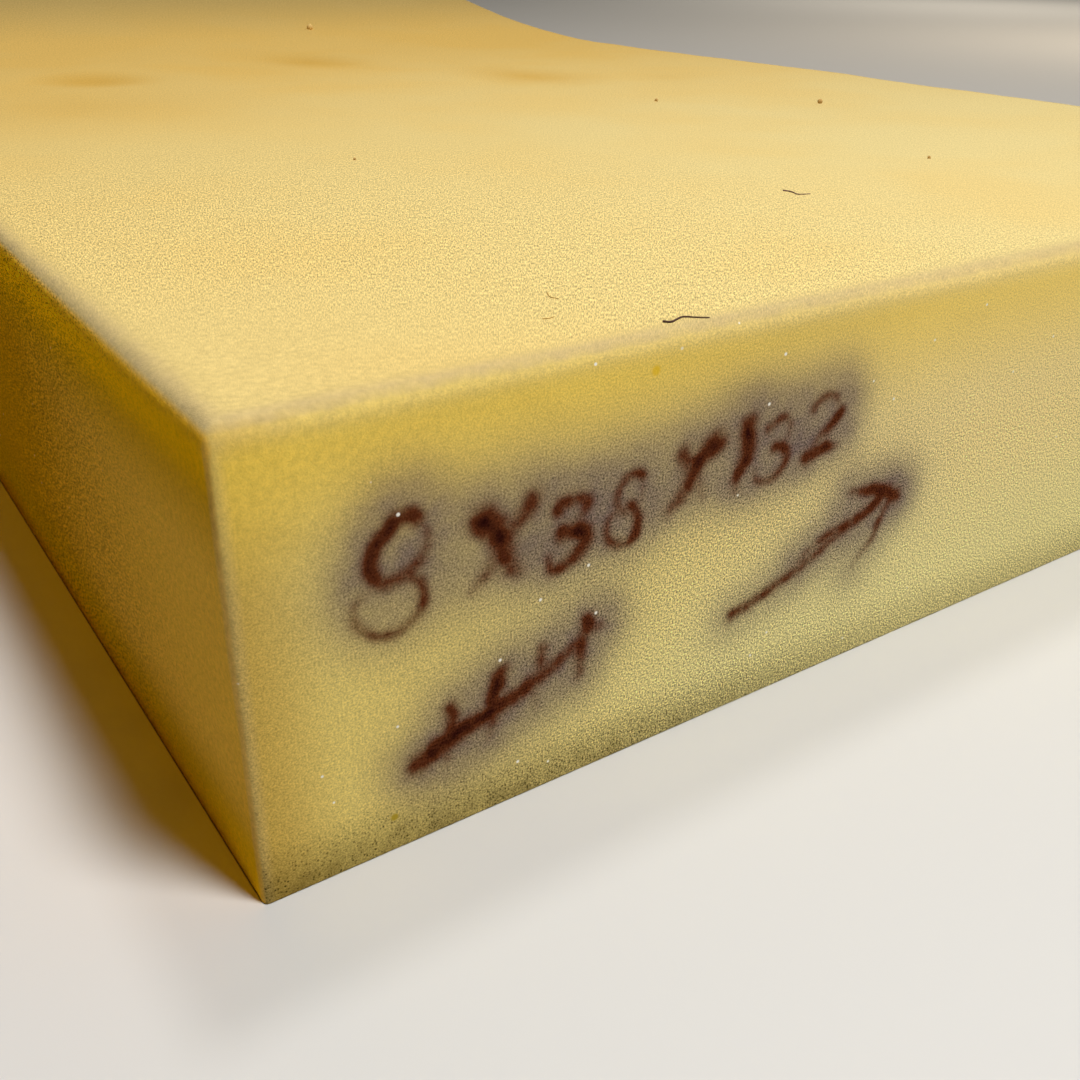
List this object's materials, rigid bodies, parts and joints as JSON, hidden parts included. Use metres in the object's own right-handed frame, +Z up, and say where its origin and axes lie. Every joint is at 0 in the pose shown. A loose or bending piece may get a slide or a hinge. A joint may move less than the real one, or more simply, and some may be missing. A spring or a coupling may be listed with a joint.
{
  "type": "foam block",
  "caption": "Long rectangular slab of open-cell upholstery foam with soft cut edges, lying flat with a shallow bow along its length; cut up for cushion and seat filling.",
  "frame": {"origin": "middle of the slab's box, at the level of the table it lies on", "axes": "+X across the slab, +Y along it away from the marked end, +Z up"},
  "size_m": [0.381, 1.3162, 0.1086],
  "materials": {
    "foam": "cut open-cell polyurethane foam, pale yellow, dusty along its edges, marked with a felt pen"
  },
  "bodies": {
    "root": {"foam_block": "foam"}
  },
  "joints": []
}
